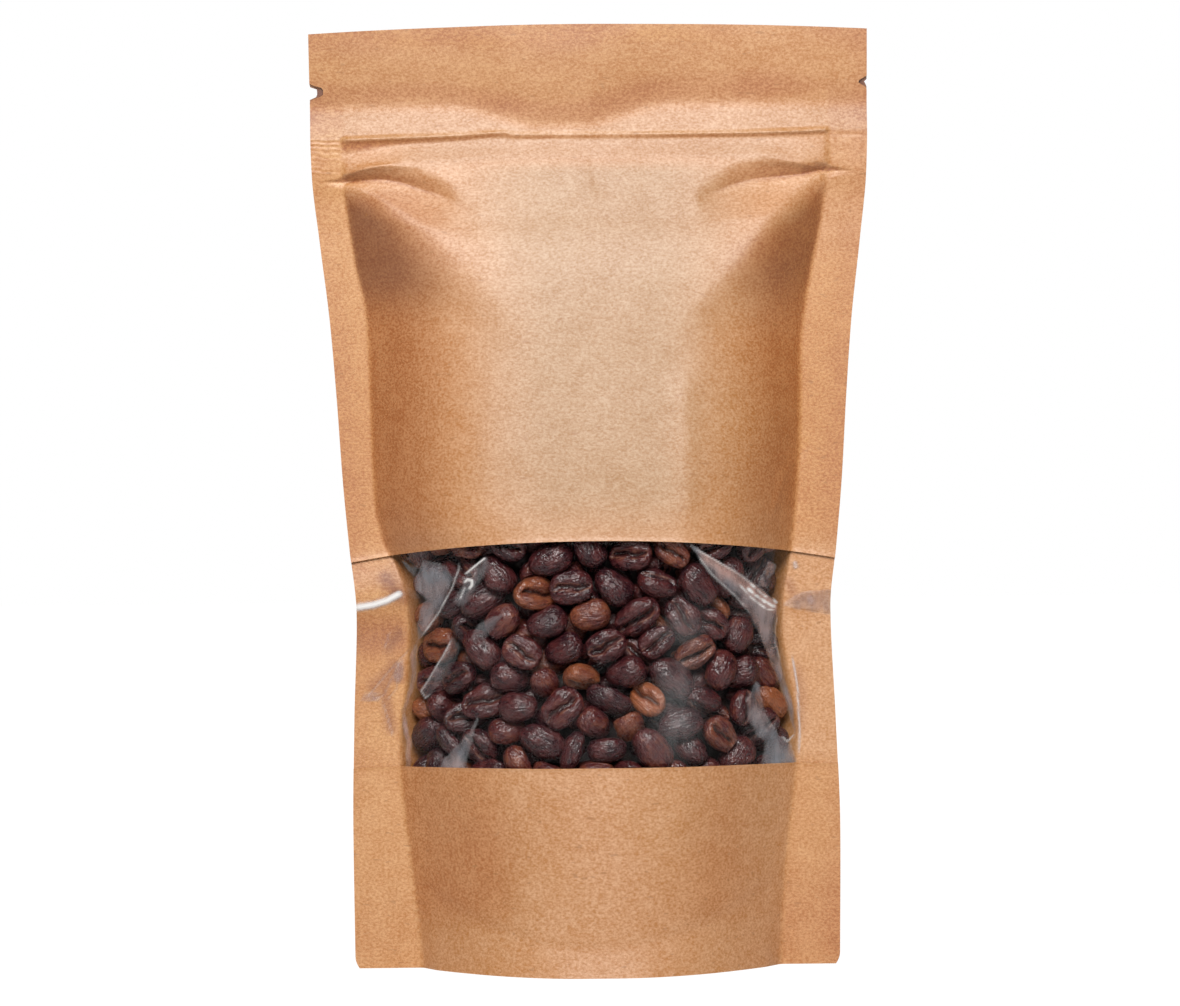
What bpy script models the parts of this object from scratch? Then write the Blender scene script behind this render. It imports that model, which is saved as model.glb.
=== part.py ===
"""A stand-up coffee pouch of brown kraft paper with a clear film window over the beans.

Frame: metres, +Z up, the window faces -Y, and the origin is on the ground under the
middle of the pouch. The pouch is two flat sheets that are sealed together down both
sides and across the top, with a bottom gusset that opens into a base. Filling it makes
both sheets bulge, so the whole form follows from one curved front and one curved back.
"""

import bisect
import math
import random

import bmesh
import bpy

# Driving dimensions, in metres.
POUCH_HEIGHT = 0.201
CROWN = 0.0015  # how much higher the top edge is in the middle than at the corners
FIN_THICKNESS = 0.0010  # both sheets together, where they are sealed
LEAN = 0.0020  # how far the top edge leans forward
LEAN_START = 0.1845
GAP = 0.0003  # between pieces that touch
SEAL_SHARE = 0.9  # where the side seal starts, on the grid's -1 to 1 across the pouch

# (height, half width) of the outer edge of the side seals: the filled part pulls it in.
EDGE = (
    (0.000, 0.0522), (0.030, 0.0524), (0.053, 0.0518), (0.077, 0.0510), (0.090, 0.0524),
    (0.105, 0.0537), (0.122, 0.0548), (0.139, 0.0561), (0.156, 0.0581), (0.170, 0.0596),
    (0.180, 0.0599), (0.201, 0.0600),
)
# Of the bulge between the side seals, seen from the front: height; its half width on the left
# and on the right; the width of its sloping side on the left and on the right; how early that
# side turns over to the flatter middle.
FORM = (
    (0.000, 0.0376, 0.0396, 0.0350, 0.0350, 2.0), (0.010, 0.0384, 0.0400, 0.0370, 0.0360, 2.0),
    (0.026, 0.0402, 0.0413, 0.0390, 0.0390, 2.0), (0.043, 0.0419, 0.0434, 0.0380, 0.0380, 2.0),
    (0.050, 0.0420, 0.0438, 0.0360, 0.0350, 2.1), (0.060, 0.0406, 0.0424, 0.0320, 0.0320, 2.2),
    (0.071, 0.0399, 0.0407, 0.0300, 0.0290, 2.3), (0.078, 0.0402, 0.0409, 0.0300, 0.0280, 2.4),
    (0.085, 0.0424, 0.0422, 0.0310, 0.0270, 2.4), (0.092, 0.0453, 0.0430, 0.0320, 0.0260, 2.4),
    (0.100, 0.0468, 0.0438, 0.0340, 0.0270, 2.4), (0.120, 0.0475, 0.0449, 0.0350, 0.0280, 2.4),
    (0.132, 0.0478, 0.0450, 0.0360, 0.0290, 2.4), (0.142, 0.0484, 0.0462, 0.0315, 0.0260, 2.2),
    (0.150, 0.0502, 0.0476, 0.0250, 0.0225, 2.1), (0.160, 0.0518, 0.0497, 0.0170, 0.0160, 2.0),
    (0.168, 0.0529, 0.0511, 0.0110, 0.0105, 1.9), (0.173, 0.0531, 0.0516, 0.0070, 0.0070, 1.8),
    (0.201, 0.0532, 0.0520, 0.0060, 0.0060, 1.8),
)
# (height, depth) of the sheets in front of and behind the seals, along the middle.
FRONT = (
    (0.000, 0.0205), (0.006, 0.0209), (0.025, 0.0213), (0.045, 0.0213), (0.078, 0.0212),
    (0.100, 0.0196), (0.122, 0.0166), (0.144, 0.0132), (0.152, 0.0114), (0.160, 0.0087),
    (0.168, 0.0052), (0.1735, 0.0033), (0.1772, 0.0024), (0.1787, 0.0031), (0.1845, 0.0016),
    (0.201, 0.0006),
)
BACK = (
    (0.000, 0.0205), (0.006, 0.0209), (0.025, 0.0212), (0.045, 0.0212), (0.078, 0.0211),
    (0.100, 0.0194), (0.122, 0.0163), (0.144, 0.0119), (0.158, 0.0080), (0.169, 0.0044),
    (0.1772, 0.0022), (0.1787, 0.0029), (0.1845, 0.0014), (0.201, 0.0006),
)
# (height, rise) of a level line in the middle of the front above its ends at the seals.
RISE = (
    (0.000, 0.0000), (0.043, 0.0010), (0.087, 0.0043), (0.120, 0.0034), (0.172, 0.0012),
    (0.201, CROWN),
)
CROWN_SHARE = 0.10  # how much the middle of the bulge stands out beyond a flat front

CRESCENT_LEVEL = 0.1702  # of the dent under each end of the zip
CRESCENT_DEPTH = 0.0020
CRESCENT_HEIGHT = 0.0026
WINDOW_BOTTOM = 0.0430
WINDOW_TOP = 0.0874
WINDOW_ROWS = 8  # of the grid, the same in the paper and the film, so that they follow each other
WAVE_LEVEL = 0.0790  # where the side seals stand forward in a wave beside the window
WAVE_DEPTH = 0.0009
WAVE_HEIGHT = 0.0062

FILM_THICKNESS = 0.0004
FILM_SEAT = 0.0002  # between the film and the paper behind it, on the side seals
BEAN_LENGTH = 0.0110
BEAN_WIDTH = 0.0082
BEAN_RELIEF = 0.0030  # how deep the gaps between the beans go
BEAN_REACH = 0.93  # how near to the side seals the beans come, as a share of the bulge

RIM_WALL = 0.0006  # of the rim round the base, beyond the seals' half thickness
GUSSET_SEAL = 0.0055  # height of the gusset's seal, in the middle of the front and back
GUSSET_KEEL = 0.0010  # height of the gusset's lowest line, which sags under the beans
GUSSET_CORNER = 0.0090  # how much higher the gusset is at its two ends
GUSSET_REACH = 0.93

NOTCH_LEVEL = 0.1892
NOTCH_RADIUS = 0.0015


# ---- curves through stations, and the shape of a sheet ------------------------------

def smooth_through(stations, height, column=1):
    """The value at a height on a smooth curve through (height, value, ...) stations."""
    heights = [station[0] for station in stations]
    values = [station[column] for station in stations]
    slopes = [
        (values[i + 1] - values[i]) / (heights[i + 1] - heights[i])
        for i in range(len(values) - 1)
    ]
    tangents = [slopes[0]]
    for below, above in zip(slopes, slopes[1:]):
        turns = below * above <= 0
        tangents.append(0.0 if turns else 2 * below * above / (below + above))
    tangents.append(slopes[-1])
    i = min(max(bisect.bisect(heights, height) - 1, 0), len(slopes) - 1)
    span = heights[i + 1] - heights[i]
    t = min(max((height - heights[i]) / span, 0.0), 1.0)
    return (
        (2 * t**3 - 3 * t**2 + 1) * values[i]
        + (t**3 - 2 * t**2 + t) * span * tangents[i]
        + (3 * t**2 - 2 * t**3) * values[i + 1]
        + (t**3 - t**2) * span * tangents[i + 1]
    )


def hump(distance, reach):
    """1 in the middle, falling smoothly to nothing about two reaches away."""
    return math.exp(-((distance / reach) ** 2))


def body_width(aside, height):
    """The half width of the bulge, on the side that aside's sign gives."""
    return smooth_through(FORM, height, 1 if aside < 0 else 2)


def across(u, height):
    """(x, share) for a grid place u: share is -1 to 1 over the bulge, and stays so on the seals."""
    body = body_width(u, height)
    edge = smooth_through(EDGE, height)
    if abs(u) <= SEAL_SHARE:
        return body * u / SEAL_SHARE, u / SEAL_SHARE
    out = (abs(u) - SEAL_SHARE) / (1 - SEAL_SHARE)
    return math.copysign(body + (edge - body) * out, u), math.copysign(1.0, u)


def middle_plane(share, height):
    """How far back the plane between the two sheets is: its sides stand forward beside the
    window, and its top leans forward."""
    wave = WAVE_DEPTH * hump(height - WAVE_LEVEL, WAVE_HEIGHT) * share**4
    over = max(height - LEAN_START, 0.0) / (POUCH_HEIGHT - LEAN_START)
    return -wave - LEAN * (1 - (1 - over) ** 1.6)


def bulge(share, height, stations):
    """How far a sheet stands out from the middle plane: steeply up from the seal, then turning
    over into the flatter middle."""
    slope_width = smooth_through(FORM, height, 3 if share < 0 else 4)
    inward = min(body_width(share, height) * (1 - abs(share)) / slope_width, 1.0)
    side = 1 - (1 - inward) ** smooth_through(FORM, height, 5)
    return smooth_through(stations, height) * side * (1 - CROWN_SHARE * share**2)


def front_bulge(share, height):
    ends = 1 - math.cos(math.pi * min(abs(share) / 0.75, 1.0))
    dent = CRESCENT_DEPTH / 2 * ends * hump(height - CRESCENT_LEVEL, CRESCENT_HEIGHT)
    fade = 1 - abs(share) ** 12
    return bulge(share, height, FRONT) - dent * fade


def back_bulge(share, height):
    return bulge(share, height, BACK)


def sheet_point(u, height, place):
    """A point of the pouch: place is 1 on the front's outside, -1 on the back's, and 0 is
    on the plane between them."""
    x, share = across(u, height)
    edge = smooth_through(EDGE, height)
    z = height + smooth_through(RISE, height) * (1 - min(abs(x / edge), 1.0) ** 2.2)
    swell = front_bulge(share, height) if place >= 0 else back_bulge(share, height)
    y = middle_plane(share, height) - place * (FIN_THICKNESS / 2 + max(swell, 0.0))
    return x, y, z


# ---- making objects ------------------------------------------------------------------

def clear_scene():
    for item in list(bpy.data.objects):
        bpy.data.objects.remove(item)


def new_collection(name):
    collection = bpy.data.collections.new(name)
    bpy.context.scene.collection.children.link(collection)
    return collection


def material(name, colour, roughness, alpha=1.0):
    made = bpy.data.materials.new(name)
    made.use_nodes = True
    shader = made.node_tree.nodes["Principled BSDF"]
    shader.inputs["Base Color"].default_value = (*colour, 1.0)
    shader.inputs["Roughness"].default_value = roughness
    shader.inputs["Metallic"].default_value = 0.0
    shader.inputs["Alpha"].default_value = alpha
    return made


def shaped_slab(name, columns, rows, shape, collection):
    """A closed block: a grid of columns by rows, given a thickness and then bent.

    shape(u, v, top) gives the place of a point, where u and v run from -1 to 1 over the
    grid and top says which of its two faces the point is on.
    """
    mesh = bmesh.new()
    bmesh.ops.create_grid(mesh, x_segments=columns, y_segments=rows, size=1.0)
    sheet = list(mesh.faces)
    raised = bmesh.ops.extrude_face_region(mesh, geom=sheet, use_keep_orig=True)
    for item in raised["geom"]:
        if isinstance(item, bmesh.types.BMVert):
            item.co.z = 1.0
    for corner in mesh.verts:
        corner.co = shape(corner.co.x, corner.co.y, corner.co.z > 0.5)
    bmesh.ops.recalc_face_normals(mesh, faces=mesh.faces)
    data = bpy.data.meshes.new(name)
    mesh.to_mesh(data)
    mesh.free()
    made = bpy.data.objects.new(name, data)
    collection.objects.link(made)
    return made


def smooth_shading(item, sharp_degrees=40):
    item.data.shade_smooth()
    item.data.set_sharp_from_angle(angle=math.radians(sharp_degrees))


def cut(item, cutter):
    cutter.hide_render = True
    cutter.display_type = "WIRE"
    boolean = item.modifiers.new(f"cut_{cutter.name}", "BOOLEAN")
    boolean.operation = "DIFFERENCE"
    boolean.object = cutter


def even_rows(levels, rows_between):
    """Heights of the grid's rows: each step between levels is divided evenly."""
    heights = [levels[0]]
    for low, high, count in zip(levels, levels[1:], rows_between):
        heights += [low + (high - low) * (i + 1) / count for i in range(count)]
    return heights


def row_height(heights, v):
    """The height of the grid row at v, from -1 to 1."""
    return heights[round((v + 1) / 2 * (len(heights) - 1))]


# ---- the paper pouch -------------------------------------------------------------------

def make_pouch(collection, kraft):
    levels = (
        0.0, 0.006, WINDOW_BOTTOM, WINDOW_TOP, 0.150, 0.165, 0.1735, 0.1772, 0.1787,
        LEAN_START, POUCH_HEIGHT,
    )
    heights = even_rows(levels, (1, 4, WINDOW_ROWS, 6, 3, 5, 1, 1, 3, 2))

    def shape(u, v, front):
        return sheet_point(u, row_height(heights, v), 1 if front else -1)

    pouch = shaped_slab("paper_pouch", 40, len(heights) - 1, shape, collection)
    pouch.data.materials.append(kraft)
    return pouch


def window_cutter(collection):
    """Takes away the front sheet between the window's edges, and what is behind it as far
    as the plane between the sheets."""
    heights = even_rows((WINDOW_BOTTOM, WINDOW_TOP), (WINDOW_ROWS,))
    clearance = 0.004
    wider = 1.05
    floor = FIN_THICKNESS / 2 - FILM_THICKNESS - FILM_SEAT

    def shape(u, v, front):
        height = row_height(heights, v)
        x, y, z = sheet_point(min(max(u * wider, -1.0), 1.0), height, 1 if front else 0)
        x += math.copysign(max(abs(u) * wider - 1.0, 0.0) * 0.06, u)
        return x, y - clearance if front else y - floor, z

    return shaped_slab("window_cutter", 42, len(heights) - 1, shape, collection)


def gusset_cutter(collection):
    """The hollow under the gusset: it sags to just above the ground and climbs towards its two ends."""
    def shape(u, v, top):
        x, share = across(u * SEAL_SHARE * GUSSET_REACH, 0.0)
        front = front_bulge(share, 0.0) - RIM_WALL
        back = back_bulge(share, 0.0) - RIM_WALL
        y = -front * (1 - v) / 2 + back * (1 + v) / 2
        climb = GUSSET_CORNER * abs(u) ** 3
        keel = GUSSET_KEEL + climb
        seal = GUSSET_SEAL + climb
        return x, y, keel + (seal - keel) * v**4 if top else -0.004

    return shaped_slab("gusset_cutter", 24, 8, shape, collection)


def notch_cutter(side, corners, collection):
    """A small round or three-cornered bite out of the edge, where the top is torn off."""
    mesh = bmesh.new()
    bmesh.ops.create_cone(
        mesh, segments=corners, radius1=NOTCH_RADIUS, radius2=NOTCH_RADIUS,
        depth=0.02, cap_ends=True,
    )
    data = bpy.data.meshes.new("notch")
    mesh.to_mesh(data)
    mesh.free()
    cutter = bpy.data.objects.new(f"notch_cutter_{'left' if side < 0 else 'right'}", data)
    cutter.location = (side * 0.0595, 0.0, NOTCH_LEVEL)
    cutter.rotation_euler = (math.radians(90), 0.0, 0.0)
    collection.objects.link(cutter)
    return cutter


# ---- the film in the window --------------------------------------------------------------

def make_film(collection, clear):
    """The strip of film between the two paper edges, sealed to the back sheet at both sides."""
    heights = even_rows((WINDOW_BOTTOM + GAP, WINDOW_TOP - GAP), (WINDOW_ROWS,))

    def shape(u, v, outside):
        x, y, z = sheet_point(u, row_height(heights, v), 1)
        return x, y if outside else y + FILM_THICKNESS, z

    film = shaped_slab("window_film", 40, len(heights) - 1, shape, collection)
    film.data.materials.append(clear)
    return film


# ---- the beans behind the film -----------------------------------------------------------

def bean_tops(half_width, low, high):
    """(x, z, turn) of the beans that lie against the film: staggered rows, a little out of line."""
    chance = random.Random(7)
    pitch_x, pitch_z = BEAN_LENGTH * 0.94, BEAN_WIDTH * 0.92
    tops = []
    for row in range(int((high - low) / pitch_z) + 2):
        for column in range(-int(half_width / pitch_x) - 1, int(half_width / pitch_x) + 2):
            x = (column + 0.5 * (row % 2)) * pitch_x + chance.uniform(-0.001, 0.001)
            z = low + row * pitch_z + chance.uniform(-0.001, 0.001)
            tops.append((x, z, chance.uniform(-0.9, 0.9)))
    return tops


def bean_height(x, z, tops):
    """0 in the gaps between beans, 1 on top of one."""
    best = 0.0
    for middle_x, middle_z, turn in tops:
        dx, dz = x - middle_x, z - middle_z
        along = (dx * math.cos(turn) + dz * math.sin(turn)) / (BEAN_LENGTH / 2)
        aside = (dz * math.cos(turn) - dx * math.sin(turn)) / (BEAN_WIDTH / 2)
        best = max(best, 1 - along**2 - aside**2)
    return math.sqrt(best)


def make_beans(collection, roast):
    """The heap of beans, out to the uneven face that it turns to the window."""
    heights = even_rows((WINDOW_BOTTOM + GAP, WINDOW_TOP - GAP), (18,))
    tops = bean_tops(0.046, WINDOW_BOTTOM, WINDOW_TOP + 0.005)
    behind_film = FILM_THICKNESS + GAP

    def shape(u, v, outside):
        height = row_height(heights, v)
        place = u * SEAL_SHARE * BEAN_REACH
        x, y, z = sheet_point(place, height, 1)
        floor = sheet_point(place, height, 0)[1] - GAP
        if not outside:
            return x, floor, z
        room = floor - (y + behind_film)
        relief = min(BEAN_RELIEF, room * 0.7) * (1 - bean_height(x, z, tops))
        return x, y + behind_film + relief, z

    beans = shaped_slab("coffee_beans", 36, len(heights) - 1, shape, collection)
    beans.data.materials.append(roast)
    return beans


def build():
    clear_scene()
    parts = new_collection("coffee_pouch")
    cutters = new_collection("cutters")
    kraft = material("kraft_paper", (0.56, 0.29, 0.125), 0.75)
    clear = material("clear_film", (0.85, 0.86, 0.88), 0.12, alpha=0.25)
    roast = material("roasted_beans", (0.060, 0.022, 0.014), 0.42)

    pouch = make_pouch(parts, kraft)
    for cutter in (
        notch_cutter(-1, 12, cutters),
        notch_cutter(1, 3, cutters),
        gusset_cutter(cutters),
        window_cutter(cutters),
    ):
        cut(pouch, cutter)
    for item in (pouch, make_film(parts, clear), make_beans(parts, roast)):
        smooth_shading(item)


build()
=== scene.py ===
"""A stand-up pouch of brown kraft paper with a strip window of clear film over coffee beans.

The window faces -Y. The sizes in the sections are in millimetres, and become metres where a
mesh is made.
"""

import math

import bpy
import numpy as np
from mathutils import Matrix, Vector


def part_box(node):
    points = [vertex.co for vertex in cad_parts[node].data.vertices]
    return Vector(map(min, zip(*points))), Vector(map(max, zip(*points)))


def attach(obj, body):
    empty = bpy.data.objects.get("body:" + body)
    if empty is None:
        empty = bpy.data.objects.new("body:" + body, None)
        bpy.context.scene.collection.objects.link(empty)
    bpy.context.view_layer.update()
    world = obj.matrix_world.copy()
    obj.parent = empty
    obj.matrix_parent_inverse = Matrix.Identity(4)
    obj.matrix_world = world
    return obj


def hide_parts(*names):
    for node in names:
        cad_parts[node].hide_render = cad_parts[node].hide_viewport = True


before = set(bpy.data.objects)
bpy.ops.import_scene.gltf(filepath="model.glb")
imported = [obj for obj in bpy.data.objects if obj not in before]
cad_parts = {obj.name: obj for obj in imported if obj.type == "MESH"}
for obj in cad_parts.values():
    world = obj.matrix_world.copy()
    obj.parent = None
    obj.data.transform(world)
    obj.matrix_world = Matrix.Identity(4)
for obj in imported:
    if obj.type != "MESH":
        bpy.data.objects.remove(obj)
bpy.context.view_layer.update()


# ---- the studio ----
# A white paper sweep, a big soft light above and before the pouch, another behind it, and a
# dim room. The camera stands level with the middle of the pouch, very slightly out of true.

camera = bpy.data.objects.new("camera", bpy.data.cameras.new("camera"))
bpy.context.scene.collection.objects.link(camera)
bpy.context.scene.camera = camera
camera.location = (-0.0005, -0.80, 0.0997)
camera.rotation_euler = (math.radians(90), math.radians(0.6), 0)
camera.data.lens = 113.25
camera.data.sensor_width = 36
camera.data.clip_start = 0.05
camera.data.clip_end = 20

LIGHTS_AIM = (0, 0, 0.11)
WARM_WHITE = (1.0, 0.99, 0.97)


def soft_light(name, place, size, power):
    """A square soft box at a place, turned to shine at the pouch."""
    data = bpy.data.lights.new(name, "AREA")
    data.shape = "SQUARE"
    data.size = size
    data.energy = power
    data.color = WARM_WHITE
    box = bpy.data.objects.new(name, data)
    bpy.context.scene.collection.objects.link(box)
    box.location = place
    box.rotation_euler = (Vector(LIGHTS_AIM) - Vector(place)).to_track_quat("-Z", "Y").to_euler()


soft_light("key_light", (-0.06, -0.97, 0.85), 0.60, 17.7)
soft_light("back_light", (0.20, 1.05, 0.80), 0.70, 11.0)


def wire(tree, node, inputs):
    """Set a node's inputs to plain values, or link them to the sockets given for them.

    The node is given itself, by its name in the tree, or as the kind of a node to add."""
    if isinstance(node, str):
        node = tree.nodes.get(node) or tree.nodes.new(node)
    for name, value in inputs.items():
        if isinstance(value, bpy.types.NodeSocket):
            tree.links.new(value, node.inputs[name])
        else:
            node.inputs[name].default_value = value
    return node


def calculate(tree, operation, *values, clamp=False):
    """The result of a Math node on sockets and plain numbers."""
    node = tree.nodes.new("ShaderNodeMath")
    node.operation = operation
    node.use_clamp = clamp
    return wire(tree, node, dict(enumerate(values))).outputs["Value"]


def new_material(name):
    """A material and its node tree."""
    made = bpy.data.materials.new(name)
    made.use_nodes = True
    return made, made.node_tree


def show_camera(tree, unseen, seen, share, output):
    """End a tree in one shader for the room and another for a share of the camera's view."""
    looking = tree.nodes.new("ShaderNodeLightPath").outputs["Is Camera Ray"]
    part = calculate(tree, "MULTIPLY", looking, share)
    both = wire(tree, "ShaderNodeMixShader", {
        "Fac": part, 1: unseen.outputs[0], 2: seen.outputs[0],
    })
    wire(tree, output, {"Surface": both.outputs["Shader"]})


world = bpy.data.worlds.new("room")
bpy.context.scene.world = world
world.use_nodes = True
tree = world.node_tree
room = wire(tree, "Background", {"Color": (0.80, 0.82, 0.86, 1), "Strength": 0.03})
white = wire(tree, "ShaderNodeBackground", {"Color": (1, 1, 1, 1), "Strength": 1.0})
show_camera(tree, room, white, 1.0, "World Output")



def add_mesh(name, primitive, **settings):
    """One of Blender's primitives as a new piece, which alone is selected."""
    bpy.ops.object.select_all(action="DESELECT")
    primitive(**settings)
    made = bpy.context.object
    made.name = made.data.name = name
    return made


floor = add_mesh("floor", bpy.ops.mesh.primitive_plane_add, size=6)
sweep, tree = new_material("white_sweep")
lit = wire(tree, "Principled BSDF", {"Base Color": (0.60, 0.60, 0.60, 1), "Roughness": 0.9})
glow = wire(tree, "ShaderNodeEmission", {"Strength": 1.09})
show_camera(tree, lit, glow, 0.93, "Material Output")
floor.data.materials.append(sweep)

bpy.context.scene.view_settings.view_transform = "Standard"


# ---- the back sheet ----
# One sheet of brown kraft paper, lined with clear film, heat sealed to the front sheet down
# both sides and along the top. Filling the pouch bulges it and pulls its side edges in.

_, pouch_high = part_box("paper_pouch")

MM = 0.001
EDGE_SHARE = 0.9  # where the side seals start, on a sheet's -1 to 1 from edge to edge
HALF_WIDTH = pouch_high.x / MM
CROWN = 1.5  # how much higher the top edge is in the middle
HEIGHT = pouch_high.z / MM - CROWN
SEAL_FRONT = 0.50  # from the plane between the sheets to the outside of the front sheet
SEAL_BACK = 0.40
PAPER = 0.30
LEAN = 2.3  # how far the top strip leans forward
ZIP_OUT = 1.1  # how far the zip stands in front of the strip's fold
# (x, height above the ground) of the zip's lip, which is welded a little higher on the left.
ZIP_LINE = (
    (-60, 178.0), (-53, 178.2), (-40, 178.5), (-28, 178.9), (-18.5, 179.4), (-15.5, 178.9),
    (12, 178.8), (29, 178.8), (46, 179.1), (53, 179.4), (60, 179.4),
)

# Height; how far out the left and right side seals end, as shares of the half width.
EDGE = (
    (0, 0.867, 0.872), (30, 0.870, 0.878), (53, 0.863, 0.866), (77, 0.850, 0.851),
    (90, 0.873, 0.874), (105, 0.895, 0.897), (122, 0.913, 0.915), (139, 0.935, 0.937),
    (156, 0.968, 0.970), (170, 0.993, 0.994), (180, 0.998, 0.999), (201, 1.0, 1.0),
)
# Of the bulge between the side seals, seen from the front: height; its half width on the left
# and on the right; the width of its sloping side on the left and on the right; how early that
# side turns over to the flatter middle.
FORM = (
    (0, 37.6, 39.6, 35, 35, 2.0), (10, 38.4, 40.0, 37, 36, 2.0), (26, 40.2, 41.3, 39, 39, 2.0),
    (43, 41.9, 43.4, 38, 38, 2.0), (50, 42.0, 43.8, 36, 35, 2.1), (60, 40.6, 42.4, 32, 32, 2.2),
    (71, 39.9, 40.7, 30, 29, 2.3), (78, 40.2, 40.9, 30, 28, 2.4), (85, 42.4, 42.2, 31, 27, 2.4),
    (92, 45.3, 43.0, 32, 26, 2.4), (100, 46.8, 43.8, 34, 27, 2.4), (120, 47.5, 44.9, 35, 28, 2.4),
    (132, 47.8, 45, 36, 29, 2.4), (142, 48.4, 46.2, 30, 22.5, 2.0), (150, 50.2, 47.6, 25, 17, 1.9),
    (155, 51, 48.7, 20.5, 14.5, 1.75), (160, 51.8, 49.7, 14.5, 11.5, 1.6),
    (165, 52.5, 50.5, 7.6, 7.8, 1.35), (168, 52.9, 51.1, 2.8, 4.4, 1.3),
    (170.5, 53, 51.3, 2, 2.2, 1.3),
    (173, 53.1, 51.6, 14, 14, 1.5), (178, 53.2, 51.7, 20, 20, 1.5), (201, 53.2, 52.0, 24, 24, 1.5),
)
# (height, depth) of the bulge in front of and behind the seals, along the middle.
FRONT = (
    (0, 20.5), (6, 20.9), (25, 21.3), (45, 21.3), (78, 21.2), (100, 19.6), (122, 16.6),
    (144, 13.2), (152, 11.1), (160, 7.9), (168, 4.2), (172.8, 2.3), (177.3, 0.95), (179.5, 0.85),
    (186.0, 0.4), (201, 0.1),
)
BACK = (
    (0, 20.5), (6, 20.9), (25, 21.2), (45, 21.2), (78, 21.1), (100, 19.4), (122, 16.3),
    (144, 11.9), (158, 8.0), (169, 4.4), (177.3, 2.0), (178.5, 2.7), (184.5, 0.8), (201, 0.1),
)
# (height, rise) of a level line of the paper in the middle above its ends at the seals.
RISE = ((0, 0), (43, 1.0), (87, 4.3), (120, 3.4), (172, 1.2), (201, CROWN))
NOTCH_LEFT = 188.6  # heights of the tear notches
NOTCH_RIGHT = 189.7


def through(stations, heights, column=1):
    """Values at an array of heights on a smooth curve through (height, value, ...) stations."""
    at = np.array([station[0] for station in stations], float)
    value = np.array([station[column] for station in stations], float)
    slope = np.diff(value) / np.diff(at)
    both = slope[:-1] * slope[1:]
    total = np.where(both > 0, slope[:-1] + slope[1:], 1.0)
    inner = np.where(both > 0, 2 * both / total, 0.0)
    tangent = np.concatenate((slope[:1], inner, slope[-1:]))
    i = np.clip(np.searchsorted(at, heights, side="right") - 1, 0, len(slope) - 1)
    span = at[i + 1] - at[i]
    t = np.clip((heights - at[i]) / span, 0, 1)
    return (
        (2 * t**3 - 3 * t**2 + 1) * value[i] + (t**3 - 2 * t**2 + t) * span * tangent[i]
        + (3 * t**2 - 2 * t**3) * value[i + 1] + (t**3 - t**2) * span * tangent[i + 1]
    )


def two_sided(stations, aside, heights, column=1):
    """Values from one column for the left and the next for the right, by aside's sign."""
    left, right = through(stations, heights, column), through(stations, heights, column + 1)
    return np.where(aside < 0, left, right)


def ease(low, high, value):
    """0 below low, 1 above high, and an even S between them."""
    t = np.clip((value - low) / (high - low), 0, 1)
    return t * t * (3 - 2 * t)


def plateau(value, start, full, falling, end):
    """0 below start, 1 from full to falling, and 0 again above end."""
    return ease(start, full, value) * (1 - ease(falling, end, value))


def hump(value, reach):
    """1 at 0, and softly down to 0 to both sides."""
    return np.exp(-((value / reach) ** 2))


def rumple(x, z, cell, seed):
    """Soft uneven waves from -1 to 1, about one to each cell of the sheet."""
    table = np.random.default_rng(seed).uniform(-1, 1, (80, 80))
    column = (0.8 * x + 0.6 * z) / cell
    row = (0.8 * z - 0.6 * x) / cell
    i, j = np.floor(column).astype(int), np.floor(row).astype(int)
    s, t = ease(0, 1, column - i), ease(0, 1, row - j)
    i, j, beyond_i, beyond_j = i % 80, j % 80, (i + 1) % 80, (j + 1) % 80
    below = table[j, i] * (1 - s) + table[j, beyond_i] * s
    above = table[beyond_j, i] * (1 - s) + table[beyond_j, beyond_i] * s
    return below * (1 - t) + above * t


def beside(x, z, line):
    """How far points are from a line of points, and how far along it, from 0 to 1."""
    near = np.full(x.shape, np.inf)
    along = np.zeros(x.shape)
    lengths = [math.dist(a, b) for a, b in zip(line, line[1:])]
    done = 0.0
    for (ax, az), (bx, bz), length in zip(line, line[1:], lengths):
        dx, dz = (bx - ax) / length, (bz - az) / length
        run = np.clip((x - ax) * dx + (z - az) * dz, 0, length)
        off = np.hypot(x - ax - run * dx, z - az - run * dz)
        closer = off < near
        near = np.where(closer, off, near)
        along = np.where(closer, (done + run) / sum(lengths), along)
        done += length
    return near, along


def crease(x, z, line, width, fade=0.25):
    """1 along a line, softly down to 0 to either side of it and towards its ends."""
    near, along = beside(x, z, line)
    return hump(near, width) * ease(0, fade, along) * ease(0, fade, 1 - along)


def creases(x, z, table, fade=0.25):
    """How far creases stand out together; of each: its line, width and how far it does."""
    return sum(out * crease(x, z, line, width, fade) for line, width, out in table)


def notch(u, height, shallower=0.0):
    """How deep the tear notches cut into the two edges: a rounded one and a V."""
    rounded = 2.9 * (1 - ease(0.35, 1.0, np.abs(height - NOTCH_LEFT) / 1.8)) ** 0.8
    vee = 2.1 * np.clip(1 - np.abs(height - NOTCH_RIGHT) / 1.3, 0, 1)
    return np.maximum(np.where(u < 0, rounded, vee) - shallower, 0)


def body_width(aside, height):
    """The half width of the bulge on the side that aside's sign gives."""
    return two_sided(FORM, aside, height)


def level(x, height):
    """The true height of a point of the paper: a level line rises towards the middle."""
    edge = through(EDGE, height, 2) * HALF_WIDTH
    return height + through(RISE, height) * (1 - np.clip(np.abs(x) / edge, 0, 1) ** 2.2)


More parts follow.
